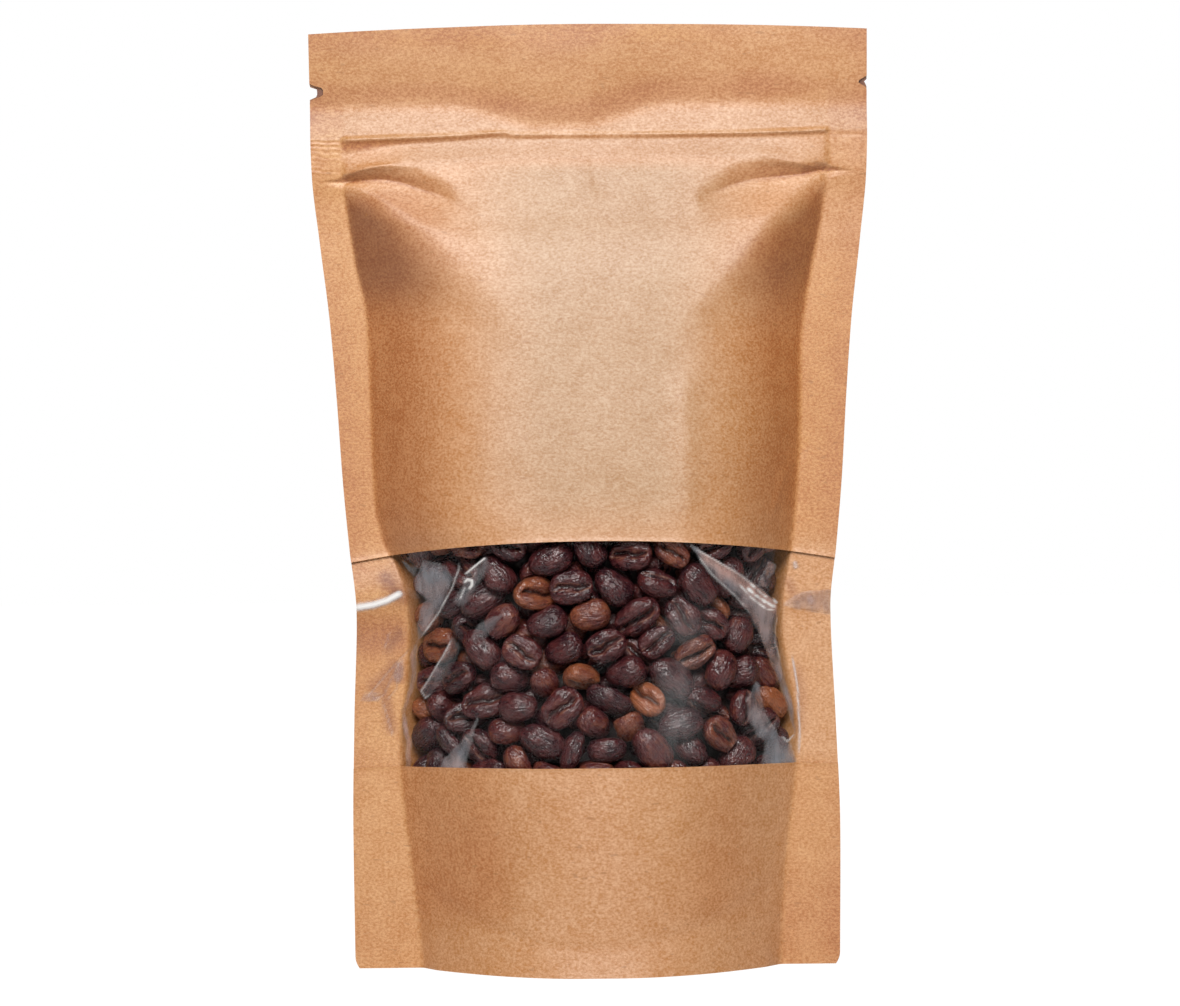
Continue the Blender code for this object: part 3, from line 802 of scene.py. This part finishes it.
# (outline, how strong) of each fold painted with a grey reflection.
VEILS = (
    (((-36.2, 87.6), (-33.4, 87.2), (-31.2, 86.4), (-29.6, 83.8), (-30.4, 81.7), (-31.4, 79.1),
      (-33.4, 76.1), (-35.6, 73), (-37.9, 70.2), (-37.8, 73.5), (-37.2, 76.1), (-36.7, 78.2),
      (-35.4, 79.5), (-37.5, 81.2), (-38.4, 83.4), (-37.1, 85.5)), 0.86),
    (((-41.4, 88.2), (-38, 86.4), (-36.8, 87.6), (-38.4, 84.4), (-39.6, 85.8)), 0.6),
    (((-37.6, 71.4), (-38, 66.5), (-38.1, 62.7), (-39.4, 58.6), (-40.6, 55.4), (-40.2, 52),
      (-39.4, 48.9), (-39.8, 42), (-41, 42), (-40.6, 48.6), (-41.4, 52.2), (-41.4, 56),
      (-40, 60.2), (-39.2, 64), (-39.8, 67.2), (-38.6, 69.6)), 0.80),
    (((-24.4, 54.9), (-26.3, 51.9), (-28.9, 48.9), (-32.4, 45), (-34.6, 42), (-28, 42),
      (-27.2, 45), (-25.9, 49.8), (-24.8, 53.2)), 0.95),
    (((-22.4, 88.5), (-24.6, 86.8), (-26.7, 84.9), (-28, 82.1), (-29.8, 79.1), (-27.6, 77.8),
      (-26.1, 79.5), (-24.6, 82.1), (-22.9, 84.2), (-21.6, 86.8)), 0.42),
    (((-18.6, 76.6), (-22.4, 75.6), (-24.4, 74), (-26.8, 70.6), (-25, 70.2), (-22.4, 71.6),
      (-20.4, 74.4)), 0.45),
    (((-30, 71.8), (-32, 67.8), (-33.9, 64.7), (-35.5, 62.2), (-37.2, 59.8), (-36.2, 58.4),
      (-34.1, 59.7), (-33, 61.2), (-30.6, 64), (-28.2, 69.4)), 0.30),
    (((20.3, 90.8), (25.2, 87.9), (29.5, 85.4), (33.8, 82.5), (36.8, 80.2), (39.2, 78),
      (39.6, 75.1), (38.6, 73), (38.7, 70), (39.9, 65.6), (41.2, 61.3), (42.5, 57.6),
      (43, 52.2), (43.3, 48.2), (42.2, 52.4), (41.2, 56.2), (39.7, 60.5), (38, 64.8),
      (36.3, 69.1), (35, 72.1), (34.1, 74.3), (32.9, 76.8), (30.3, 79.4), (27.3, 82.2),
      (25.2, 84.2), (22.6, 87.5)), 0.92),
    (((34.4, 61.4), (32.9, 58.7), (32.3, 56.2), (32.7, 53.1), (34.6, 50.1), (36.4, 48.2),
      (36, 44.5), (35.4, 42), (43.2, 42), (43, 44.2), (42.2, 47.6), (39.4, 49.4),
      (37.7, 52.3), (36.4, 54.4), (35.9, 57.4), (35.5, 60.2)), 0.95),
    (((37.3, 86.8), (39.2, 86), (38.8, 84.2), (37.2, 83), (36.7, 85)), 0.80),
    (((36, 83.9), (35.2, 81.6), (37.4, 81)), 0.65),
    (((40.8, 77.3), (42.8, 79), (45.2, 80.2), (51.5, 80.8), (51.5, 75.1), (47.1, 75.9),
      (43.3, 76.2)), 0.50),
    (((-41, 66.6), (-42.6, 65.4), (-43.2, 62.4), (-42, 61.2), (-40.8, 63)), 0.45),
    (((-45.6, 59.2), (-49.6, 59.6), (-50.4, 57.6), (-46.2, 57.2)), 0.35),
)
# (line, half width, how white) of thin creases, painted with white highlights.
THREADS = (
    (((-28.3, 87.9), (-28.4, 86), (-30, 81.9), (-33, 76.6), (-37.4, 70.8)), 0.16, 0.8),
    (((-22.4, 88.6), (-24.6, 86.9), (-27.2, 84.8)), 0.16, 1.6),
    (((-27.4, 83), (-26.6, 83.8), (-25.6, 83.6), (-25.6, 82.6), (-26.4, 81.6)), 0.26, 1.7),
    (((-27, 82.4), (-28.4, 79.4)), 0.30, 0.6),
    (((-52, 77.5), (-50.7, 77.8), (-47.3, 78.3), (-44.4, 79.2), (-40.8, 81.1)), 0.58, 3),
    (((-29.8, 71.8), (-31.9, 67.9), (-33.9, 64.8), (-35.4, 62.3), (-37.1, 59.9), (-36.2, 58.4),
      (-34.1, 59.7)), 0.13, 0.8),
    (((-38.4, 69.9), (-41.6, 66.8), (-43.9, 64.3), (-46.8, 61), (-49.6, 57.6)), 0.20, 0.30),
    (((-41.5, 66.5), (-43.9, 62), (-45.5, 58.7), (-48.6, 57.6)), 0.16, 0.25),
    (((-45.9, 58.4), (-44.6, 54), (-43.4, 49.4)), 0.20, 0.30),
    (((-42, 64.2), (-42.6, 60.2), (-44.8, 57.6)), 0.16, 0.25),
    (((-43.8, 72.6), (-45.2, 68.6)), 0.16, 0.20),
    (((32.4, 81.6), (34.6, 79.7), (36.6, 78.3), (38.4, 77.2), (39.8, 77)), 0.24, 2.6),
    (((33.2, 82.4), (36.2, 79.8), (38.8, 78)), 0.18, 1.8),
    (((30.6, 82.6), (33.6, 79.2), (37, 76.6), (39.4, 76.2)), 0.20, 1.4),
    (((37.4, 78.9), (38.6, 78.6), (39.6, 77.6)), 0.26, 2.4),
    (((21, 90.2), (26, 87.2), (31, 84.2), (36.4, 80)), 0.2, 0.7),
    (((21.6, 89), (25, 84.4), (30.2, 79.6), (33.6, 75.6)), 0.2, 0.7),
    (((39.7, 75.4), (38.9, 72.4), (39, 69.2), (40.2, 65)), 0.12, 0.7),
    (((42.6, 67.2), (43.8, 60), (44.1, 50), (43.8, 44.4)), 0.20, 1),
    (((43.4, 86.8), (43.8, 85)), 0.5, 0.9),
    (((43, 49.6), (41.4, 48), (40, 49.4)), 0.16, 1),
)
# The rims of the fold pinched into the right seal.
PINCH_RIMS = (
    ((39.4, 75.9), (43.3, 76.1), (47.1, 75.9), (51.6, 75)),
    ((40.8, 77.4), (42.8, 79.1), (45.2, 80.3), (51.6, 80.9)),
)


def inside(x, z, outline):
    """How far points are inside a closed outline, negative outside it."""
    near, _ = beside(x, z, (*outline, outline[0]))
    within = np.zeros(x.shape, bool)
    for (ax, az), (bx, bz) in zip(outline, (*outline[1:], outline[0])):
        spans = (az > z) != (bz > z)
        crossing = ax + (z - az) * (bx - ax) / (bz - az if bz != az else 1e-9)
        within ^= spans & (x < crossing)
    return np.where(within, near, -near)


def film_veil(x, z):
    """How strongly a grey reflection is painted on the film, 0 to 1: on its folds, and faintly in
    the middle.
    """
    mist = hump(x - 18.0 - 0.10 * (z - 60), 4.2) * plateau(z, 42, 52, 70, 82)
    veil = 0.08 * mist
    for outline, milky in VEILS:
        deep = inside(x + 0.22 * rumple(x, z, 1.6, 51), z + 0.22 * rumple(x, z, 1.6, 55), outline)
        cloud = 0.76 + 0.34 * rumple(x, z, 3.6, 52) + 0.24 * rumple(x * 1.5, z * 0.5, 1.1, 57)
        soft = 0.45 * ease(-0.12, 0.22, deep) + 0.55 * ease(0.0, 2.2, deep)
        veil = np.maximum(veil, milky * soft * cloud)
    return veil


def film_shine(x, z):
    """How much white is painted on the film's creases as highlights, 0 to 1."""
    shine = np.zeros_like(x)
    for line, half, white in THREADS:
        shine = np.maximum(shine, white * crease(x, z, line, max(half, 0.2), 0.12))
    broken = hump(np.hypot(x - 36, z - 79), 5.0) * (0.5 + 0.8 * rumple(x, z, 0.7, 58))
    return np.clip(shine * (1 - broken), 0, None)


def film_folds(x, z):
    """How far the film's folds stand out."""
    out = 0.05 * rumple(x, z, 6, 53) + 0.02 * rumple(x, z, 2.2, 54)
    for outline, milky in VEILS:
        out -= 0.25 * milky * ease(-0.4, 0.8, inside(x, z, outline))
    for line, half, _ in THREADS:
        out += 0.20 * crease(x, z, line, half + 0.15, 0.15)
    for line in PINCH_RIMS:
        out += 0.30 * crease(x, z, line, 0.45, 0.1)
    ridge = ((-52.4, 77.4), (-50.7, 77.6), (-47.3, 78.1), (-44.4, 79.1), (-40.6, 81.2))
    out += 0.55 * crease(x, z, ridge, 0.95, 0.12)
    by_seal = plateau(np.abs(x), 38.5, 40.5, 45.5, 47.5)
    return out + by_seal * 0.10 * rumple(x * 1.6, z * 0.5, 1.3, 56)


def film_place(u, height):
    x, share, z = spot_on_sheet(u, height)
    free = ease(0, 0.06, 1 - np.abs(share))
    open_film = plateau(height, WINDOW_BOTTOM, WINDOW_BOTTOM + 1.2, WINDOW_TOP - 1.2, WINDOW_TOP)
    folds = (0.15 + 0.85 * free) * open_film * (film_folds(x, z) - 0.12)
    swell = bulge(share, height, FRONT) + folds
    swell = np.maximum(swell, -0.02)
    y = middle_plane(share, x, height) - FILM_OUTSIDE - swell
    return x, y, z


film_rows = even_rows(
    (WINDOW_BOTTOM - FILM_OVERLAP, WINDOW_BOTTOM, WINDOW_TOP, WINDOW_TOP + FILM_OVERLAP),
    (3, 146, 3),
)
window_film = bent_sheet("window_film_sheet", 288, film_rows, film_place, FILM)
x, _, z = read_vertices(window_film).T / MM
store(window_film, "veil", film_veil(x, z))
store(window_film, "shine", film_shine(x, z))
# A brown tint is painted into the reflections on the folds that would mirror the kraft paper, and
# here and there in clouds.
pinch = beside(x, z, ((24, 88.0), (31.5, 83.2), (39.6, 77.4)))[0]
tan = 0.9 * hump(pinch, 1.5) + 0.35 * np.clip(rumple(x, z, 3.4, 59), 0, 1)
tan += 0.6 * ease(38.2, 39.4, -x) * (1 - ease(67, 72, z))
tan = tan + 0.3 * ease(28, 33, x) * ease(58, 66, z) + 0.3 * hump(np.hypot(x + 35, z - 74), 4.5)
store(window_film, "tan", np.clip(tan, 0, 1))

GREY_FOLD = (0.290, 0.298, 0.330)
TAN_FOLD = (0.760, 0.480, 0.420)
# The film's colour and opacity carry painted grey and brown reflections on its folds and painted
# white highlights along its creases.
clear_film, tree = new_material("clear_film")
place = tree.nodes.new("ShaderNodeTexCoord").outputs["Object"]
streaks = stretched_noise(tree, place, (1, 1, 0.35), 420, 2.0)
uneven = spread(tree, streaks, 0.32, 0.68, 0.66, 1.30)
milk = calculate(tree, "MULTIPLY", stored(tree, "veil"), uneven, clamp=True)
shine = stored(tree, "shine")
solid = calculate(tree, "MULTIPLY_ADD", shine, 0.32, calculate(tree, "MULTIPLY", milk, 0.68))
slant = wire(tree, "ShaderNodeLayerWeight", {"Blend": 0.5}).outputs["Facing"]
gleam = calculate(tree, "POWER", slant, 4.0)
gleam = calculate(tree, "MULTIPLY_ADD", gleam, 0.5, 0.005)
folds = mixed(tree, stored(tree, "tan"), GREY_FOLD, TAN_FOLD)
tints = mixed(tree, spread(tree, milk, 0.0, 0.3), (0.95, 0.95, 0.96), folds)
wire(tree, "Principled BSDF", {
    "Base Color": mixed(tree, spread(tree, shine, 0.1, 0.9), tints, (0.92, 0.90, 0.89)),
    "Alpha": calculate(tree, "ADD", gleam, solid, clamp=True),
    "Metallic": spread(tree, solid, 0.0, 0.3, 1.0, 0.0),
    "Roughness": spread(tree, solid, 0.0, 0.4, 0.05, 0.30),
})
finish_piece(window_film, clear_film, "film", "window_film")


# ---- the coffee beans ----
# Medium-dark roasted beans, each an oval with one round side and one flat side, which a deep
# crooked slit runs along. They lie as they fell, pressed against the film.

BEAN_COUNT = 168
BEAN_SEGMENTS = 30
BEAN_RINGS = 20
SKIN_STEP = 20  # from one bean to the next, in the space of the skin's pattern
# (length, width, thickness, sideways sway of the slit, slit's depth, taper) of the kinds of bean.
BEAN_KINDS = (
    (9.6, 7.1, 5.2, 0.55, 1.5, 0.08),
    (8.7, 7.0, 5.4, -0.45, 1.3, -0.10),
    (10.3, 7.0, 5.0, 0.35, 1.6, 0.12),
    (8.3, 6.6, 4.9, -0.60, 1.4, 0.05),
    (9.2, 7.5, 5.2, 0.50, 1.2, -0.06),
)


def bean_shape(length, width, thickness, sway, slit_depth, taper, ball):
    """A bean's points from a unit ball's, its length on X and its slit side facing -Z, and how
    far each is in the slit."""
    along, aside, up = ball[:, 2], ball[:, 0], ball[:, 1]
    girth = np.clip(np.hypot(aside, up), 1e-6, 1) ** 0.88
    turn = np.arctan2(aside, -up)
    turn = np.sign(turn) * math.pi * (np.abs(turn) / math.pi) ** 1.5
    x = length / 2 * along
    y = width / 2 * girth * np.sin(turn) * (1 + taper * along)
    round_side = 0.60 * thickness * girth * np.clip(-np.cos(turn), 0, 1)
    flat_side = 0.40 * thickness * girth * np.clip(np.cos(turn), 0, 1) ** 0.55
    on_flat = ease(0.0, 0.35, np.cos(turn))
    open_ends = ease(0.02, 0.45, 1 - np.abs(along))
    slit = on_flat * open_ends * hump(y, 0.46 + 0.16 * rumple(x, x * 0, 1.8, 64))
    lobes = on_flat * open_ends * hump(y, 1.4)
    z = round_side - flat_side + slit_depth * 0.66 * slit + slit_depth * 0.40 * lobes
    z -= (0.28 + 0.12 * np.sign(y)) * on_flat * hump(np.abs(y) - 1.35, 0.6) * open_ends
    bends = np.sin(x / length * 2 * math.pi) + 0.25 * np.sin(x * 2.3 + sway * 9)
    y += sway * bends * on_flat * hump(y, 2.2)
    broad = 0.11 * rumple(x + 30 * sway, y + z, 3.0, 61)
    wrinkled = 0.048 * rumple(x + 7 * sway, y * 1.2 + 2.5 * z, 1.5, 62)
    ribbed = 0.026 * rumple(x * 0.5 + sway * 5, y * 1.3 - 2 * z, 0.8, 63)
    lift = 1 + (broad + wrinkled + ribbed) * girth
    points = np.stack((x, y, z - 0.10 * thickness), axis=1) * lift[:, None]
    return points, slit


def bean_mesh(name, *sizes):
    """One bean round the origin."""
    bean = add_mesh(
        name, bpy.ops.mesh.primitive_uv_sphere_add,
        segments=BEAN_SEGMENTS, ring_count=BEAN_RINGS, radius=1,
    )
    points, slit = bean_shape(*sizes, read_vertices(bean))
    bean.data.vertices.foreach_set("co", (points * MM).ravel())
    store(bean, "slit", slit)
    in_edit_mode(bpy.ops.mesh.normals_make_consistent, inside=False)
    bpy.ops.object.shade_smooth()
    return bean, points


def pouch_height(x, z):
    """The height on the sheets of a point at a true height."""
    height = z
    for _ in range(4):
        height = z - (level(x, height) - height)
    return height


def back_surface(x, z):
    """Where the inside of the back sheet is."""
    height = pouch_height(x, z)
    share = np.clip(x / body_width(x, height), -1, 1)
    return middle_plane(share, x, height) + bulge(share, height, BACK) - 0.2


def film_surface(x, z):
    """The surface that keeps the beans a little way behind the film."""
    height = pouch_height(x, z)
    share = np.clip(x / body_width(x, height), -1, 1)
    gap = FILM + 0.45 + 0.5 * ease(85, 90, z)
    return middle_plane(share, x, height) - FILM_OUTSIDE + gap - bulge(share, height, FRONT)


def turned(axis, angle):
    return np.array(Matrix.Rotation(angle, 3, Vector(axis)))


# Each bean is six balls while the heap settles: they push apart, and the film holds them in.
chance = np.random.default_rng(26)
BALL = 2.42  # a ball's radius
IN_A_ROW = 9
HEAP_LEFT, HEAP_WIDTH = -41, 84
HEAP_BOTTOM, HEAP_TOP = 41, 93
HEAP_DEPTH = 9.5  # how far behind the film the balls' near sides may be
SLITS_OUT = 0.52  # the share of beans that turn their slit to the film
SLOPE_STEP = 0.3
balls = np.array([(dx, dy, 0) for dx in (-2.3, 0.0, 2.3) for dy in (-1.1, 1.1)])
index = np.arange(BEAN_COUNT)
layer, spot = index // (BEAN_COUNT // 2), index % (BEAN_COUNT // 2)
row, column = spot // IN_A_ROW, spot % IN_A_ROW
x = (column + 0.25 + 0.5 * (row % 2)) / IN_A_ROW * HEAP_WIDTH + HEAP_LEFT
x += chance.uniform(-1.8, 1.8, BEAN_COUNT)
z = 39.5 + row * 6.0 + 3 * layer + chance.uniform(-1.3, 1.3, BEAN_COUNT)
heap = np.stack((x, film_surface(x, z) + 3.2 + 4.6 * layer, z), axis=1)
turns = []
for _ in range(BEAN_COUNT):
    facing = turned((1, 0, 0), math.radians(-90 if chance.random() < SLITS_OUT else 90))
    level_turn = chance.normal(0, 0.5) if chance.random() < 0.8 else chance.uniform(0, 3)
    spin = turned((0, 1, 0), level_turn)
    tip = turned((1, 0, 0), chance.normal(0, 0.42)) @ turned((0, 0, 1), chance.normal(0, 0.42))
    turns.append(tip @ spin @ facing)
turns = np.array(turns)
grow = chance.uniform(0.90, 1.07, BEAN_COUNT)
owner = np.repeat(index, len(balls))
same = owner[:, None] == owner[None, :]
for _ in range(150):
    arms = np.einsum("bij,kj->bki", turns, balls) * grow[:, None, None]
    centres = (heap[:, None, :] + arms).reshape(-1, 3)
    apart = centres[:, None, :] - centres[None, :, :]
    distance = np.sqrt((apart**2).sum(2)) + 1e-6
    overlap = np.clip(2 * BALL - distance, 0, None)
    overlap[same] = 0
    push = (apart * (overlap / distance)[:, :, None]).sum(1) * 0.5
    x, y, z = centres.T
    surface = film_surface(x, z)
    slope_x = (film_surface(x + SLOPE_STEP, z) - surface) / SLOPE_STEP
    slope_z = (film_surface(x, z + SLOPE_STEP) - surface) / SLOPE_STEP
    steep = np.sqrt(1 + slope_x**2 + slope_z**2)
    room = (y - surface) / steep - BALL
    inward = np.stack((-slope_x, np.ones_like(slope_x), -slope_z), 1) / steep[:, None]
    push += inward * np.clip(-room, 0, None)[:, None]
    push[:, 1] -= 0.008 * np.clip(room, 0, 4) + 0.6 * np.clip(room - HEAP_DEPTH, 0, None)
    push[:, 1] -= np.clip(y - 1.0, 0, None) * 0.6
    tight = np.clip(2 * BALL + 0.8 - back_surface(x, z) + surface, 0, 2)
    push[:, 0] -= np.sign(x) * tight * 0.5
    push[:, 2] += np.clip(HEAP_BOTTOM - z, 0, None) * 0.5
    push[:, 2] -= np.clip(z - HEAP_TOP, 0, None) * 0.5 + 0.004
    push = push.reshape(BEAN_COUNT, len(balls), 3)
    heap += push.mean(1) * 1.1
    twist = np.cross(arms, push).sum(1) / 80
    for bean in np.flatnonzero(np.linalg.norm(twist, axis=1) > 1e-4):
        angle = min(float(np.linalg.norm(twist[bean])), 0.15)
        turns[bean] = turned(twist[bean], angle) @ turns[bean]

kinds = [bean_mesh(f"bean_kind_{place}", *sizes) for place, sizes in enumerate(BEAN_KINDS)]
which = chance.integers(len(kinds), size=BEAN_COUNT)
for index in range(BEAN_COUNT):
    # Each is drawn back from the film by whatever still reaches through it, and in from the
    # side seal until it fits before the back sheet.
    for _ in range(24):
        points = kinds[which[index]][1] * grow[index] @ turns[index].T + heap[index]
        x, y, z = points.T
        back = max(float((film_surface(x, z) - y).max()), 0)
        if (y + back - back_surface(x, z)).max() < 0:
            break
        heap[index, 0] -= 0.5 * np.sign(heap[index, 0])
    heap[index, 1] += back
beans = []
for index in range(BEAN_COUNT):
    kind, points = kinds[which[index]]
    bean = kind.copy()
    bean.data = kind.data.copy()
    bpy.context.scene.collection.objects.link(bean)
    roast = chance.beta(1.2, 4.0) * 0.8 if chance.random() < 0.86 else chance.uniform(0.6, 1.0)
    store(bean, "roast", np.full(len(points), roast))
    skin = points.astype(np.float32) + np.float32(SKIN_STEP) * index
    store(bean, "skin", skin, "FLOAT_VECTOR", "vector")
    place = Matrix(turns[index]).to_4x4()
    place.translation = Vector(heap[index] * MM)
    bean.data.transform(place @ Matrix.Scale(float(grow[index]), 4))
    beans.append(bean)
for kind, _ in kinds:
    bpy.data.objects.remove(kind)
bpy.ops.object.select_all(action="DESELECT")
for bean in beans:
    bean.select_set(True)
bpy.context.view_layer.objects.active = beans[0]
bpy.ops.object.join()
bean_heap = beans[0]
bean_heap.name = bean_heap.data.name = "beans"


def ramped(tree, value, *stops):
    """A colour by a value, from stops of a place from 0 to 1 and three numbers."""
    node = wire(tree, "ShaderNodeValToRGB", {"Fac": value})
    ends = node.color_ramp.elements
    for end, (spot, colour) in zip(ends, (stops[0], stops[-1])):
        end.position = spot
        end.color = (*colour, 1)
    for spot, colour in stops[1:-1]:
        ends.new(spot).color = (*colour, 1)
    return node.outputs["Color"]


roasted, tree = new_material("roasted_beans")
skin, slit = stored(tree, "skin", "Vector"), stored(tree, "slit")
blotches = stretched_noise(tree, skin, (1, 1, 1), 0.36, 3.0, 0.6)
lines = stretched_noise(tree, skin, (0.42, 1.3, 1.3), 1.15, 2.6, 0.52)
pits = stretched_noise(tree, skin, (1, 1, 1), 2.2, 1.0)
lighter = calculate(tree, "MULTIPLY_ADD", blotches, 1.10, stored(tree, "roast"))
lighter = calculate(tree, "MULTIPLY_ADD", lines, 0.60, lighter)
lighter = calculate(tree, "SUBTRACT", lighter, 0.80, clamp=True)
brown = ramped(
    tree, lighter,
    (0.0, (0.026, 0.0056, 0.0084)), (0.35, (0.086, 0.0172, 0.0172)), (1.0, (0.285, 0.086, 0.032)),
)
# Deep in the slit the colour is darkened nearly to black: painted shade.
brown = mixed(tree, spread(tree, slit, 0.35, 1.0, 0.0, 0.85), brown, (0.012, 0.006, 0.005))
out_of_slit = spread(tree, slit, 0.20, 0.40, 1.0, 0.0)
on_rim = calculate(tree, "MULTIPLY", spread(tree, slit, 0.04, 0.16, 0.0, 0.55), out_of_slit)
on_rim = calculate(tree, "MULTIPLY", on_rim, spread(tree, lines, 0.4, 0.6))
wrinkles = calculate(tree, "MULTIPLY_ADD", pits, 0.3, lines)
wire(tree, "Principled BSDF", {
    "Base Color": mixed(tree, on_rim, brown, (0.260, 0.120, 0.070)),
    "Roughness": spread(tree, lines, 0.3, 0.7, 0.22, 0.36),
    "Normal": bumped(tree, wrinkles, 0.80, 0.00066),
    "Specular IOR Level": 0.60,
})
finish_piece(bean_heap, roasted, "beans", "coffee_beans")


# ---- the dark inside of the heap ----
# The beans deeper down, of which only shadow and a dull gleam shows between those in front.

CORE_BEHIND_FILM = 8.5


def core_place(u, height):
    x, share, z = spot_on_sheet(u * EDGE_SHARE * 0.84, height)
    dents = 1.1 * rumple(x, z, 4.5, 71) + 0.4 * rumple(x, z, 1.8, 72)
    depth = bulge(share, height, FRONT) - CORE_BEHIND_FILM + dents
    return x, middle_plane(share, x, height) - np.maximum(depth, 0.6), z


core_rows = even_rows((WINDOW_BOTTOM - 6, WINDOW_TOP + 6), (70,))
bean_core = bent_sheet("bean_core", 110, core_rows, core_place, 1.2)
# Its near-black colour is painted shade, darker than the beans' own.
dark, tree = new_material("beans_in_shadow")
place = tree.nodes.new("ShaderNodeTexCoord").outputs["Object"]
clots = stretched_noise(tree, place, (1, 1, 1), 260, 3.0)
wire(tree, "Principled BSDF", {
    "Base Color": ramped(
        tree, clots, (0.40, (0.008, 0.005, 0.005)), (0.70, (0.034, 0.015, 0.012))
    ),
    "Roughness": spread(tree, clots, 0.3, 0.7, 0.75, 0.5),
    "Normal": bumped(tree, clots, 0.8, 0.0006),
})
finish_piece(bean_core, dark, "beans", "coffee_beans")
